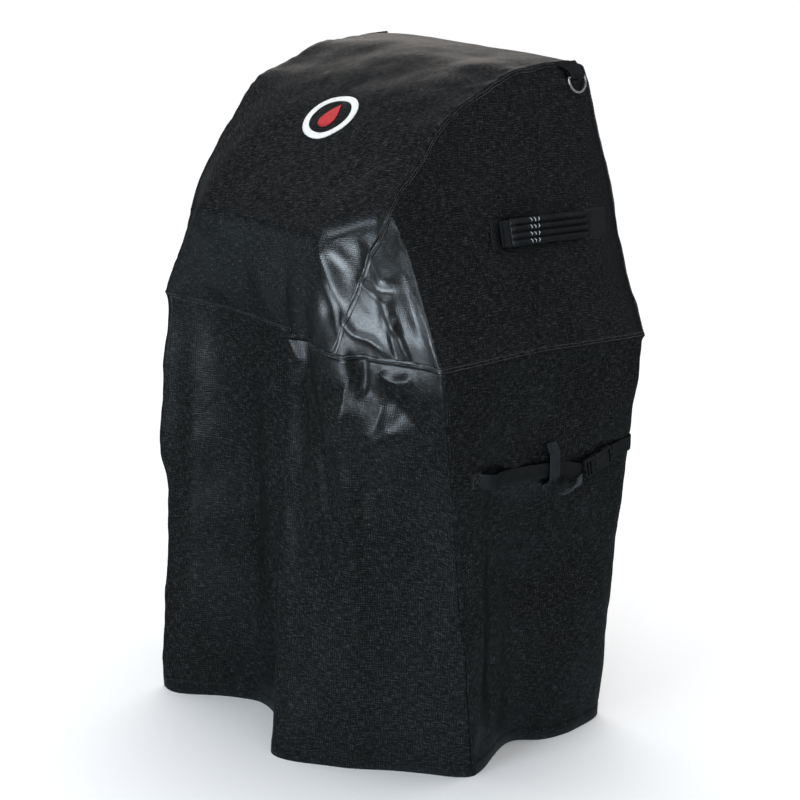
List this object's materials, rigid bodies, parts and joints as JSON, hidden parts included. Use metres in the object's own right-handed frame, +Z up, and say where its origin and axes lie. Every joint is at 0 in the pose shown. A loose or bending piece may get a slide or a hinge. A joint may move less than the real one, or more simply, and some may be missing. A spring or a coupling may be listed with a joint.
{
  "type": "grill cover",
  "caption": "Fitted cover for a freestanding grill: sloped seamed hood, draped skirt, padded side handles, hanging D-rings and buckled cinch straps.",
  "frame": {"origin": "on the floor, in the middle of the cover's bounding box", "axes": "+Z up, -Y towards the front with the badge, +X to the right as seen from the front"},
  "size_m": [0.693, 0.554, 1.17],
  "materials": {
    "coated_cloth": "woven polyester with a semi-gloss coating",
    "webbing": "matte woven webbing",
    "ring_steel": "polished nickel plate, lightly worn",
    "buckle_plastic": "moulded, fine texture",
    "badge_white": "heat-pressed print",
    "badge_red": "heat-pressed print"
  },
  "bodies": {
    "cover": {"badge_flame": "badge_red", "badge_ring": "badge_white", "buckle_socket_left": "buckle_plastic", "buckle_socket_right": "buckle_plastic", "handle_backing_left": "coated_cloth", "handle_backing_right": "coated_cloth", "handle_patch_back_left": "webbing", "handle_patch_back_right": "webbing", "handle_patch_front_left": "webbing", "handle_patch_front_right": "webbing", "handle_webbing_left": "webbing", "handle_webbing_right": "webbing", "hood_middle_panel": "coated_cloth", "hood_side_panel_left": "coated_cloth", "hood_side_panel_right": "coated_cloth", "ring_tab_left": "webbing", "ring_tab_right": "webbing", "skirt_back_panel": "coated_cloth", "skirt_front_panel": "coated_cloth", "skirt_left_panel": "coated_cloth", "skirt_right_panel": "coated_cloth", "strap_anchor_front_left": "webbing", "strap_anchor_front_right": "webbing", "strap_anchor_rear_left": "webbing", "strap_anchor_rear_right": "webbing", "strap_keeper_left": "webbing", "strap_keeper_right": "webbing", "strap_webbing_front_left": "webbing", "strap_webbing_front_right": "webbing", "strap_webbing_rear_left": "webbing", "strap_webbing_rear_right": "webbing"},
    "d_ring_right": {"d_ring_right": "ring_steel"},
    "grip_right": {"handle_grip_right": "webbing"},
    "plug_right": {"buckle_plug_right": "buckle_plastic", "strap_tail_right": "webbing"},
    "d_ring_left": {"d_ring_left": "ring_steel"},
    "grip_left": {"handle_grip_left": "webbing"},
    "plug_left": {"buckle_plug_left": "buckle_plastic", "strap_tail_left": "webbing"}
  },
  "joints": [
    {"name": "d_ring_swing_right", "type": "hinge", "parent": "cover", "child": "d_ring_right", "pos_m": [0.21478, 0.231, 1.14054], "axis": [0, -1, 0], "range_deg": [0, 150]},
    {"name": "grip_lift_right", "type": "hinge", "parent": "cover", "child": "grip_right", "pos_m": [0.28292, 0.104, 0.91846], "axis": [-0.0231, -0.9972, 0.0713], "range_deg": [0, 22], "deforming": ["handle_webbing_right"]},
    {"name": "plug_slide_right", "type": "slide", "parent": "cover", "child": "plug_right", "axis": [0, -0.9781, -0.2079], "range_m": [0, 0.028], "deforming": ["strap_webbing_front_right"]},
    {"name": "d_ring_swing_left", "type": "hinge", "parent": "cover", "child": "d_ring_left", "pos_m": [-0.24833, 0.231, 1.14017], "axis": [0, 1, 0], "range_deg": [0, 150]},
    {"name": "grip_lift_left", "type": "hinge", "parent": "cover", "child": "grip_left", "pos_m": [-0.29815, 0.104, 0.91835], "axis": [-0.0176, 0.9972, -0.0729], "range_deg": [0, 22], "deforming": ["handle_webbing_left"]},
    {"name": "plug_slide_left", "type": "slide", "parent": "cover", "child": "plug_left", "axis": [0, -0.9781, -0.2079], "range_m": [0, 0.028], "deforming": ["strap_webbing_front_left"]}
  ]
}
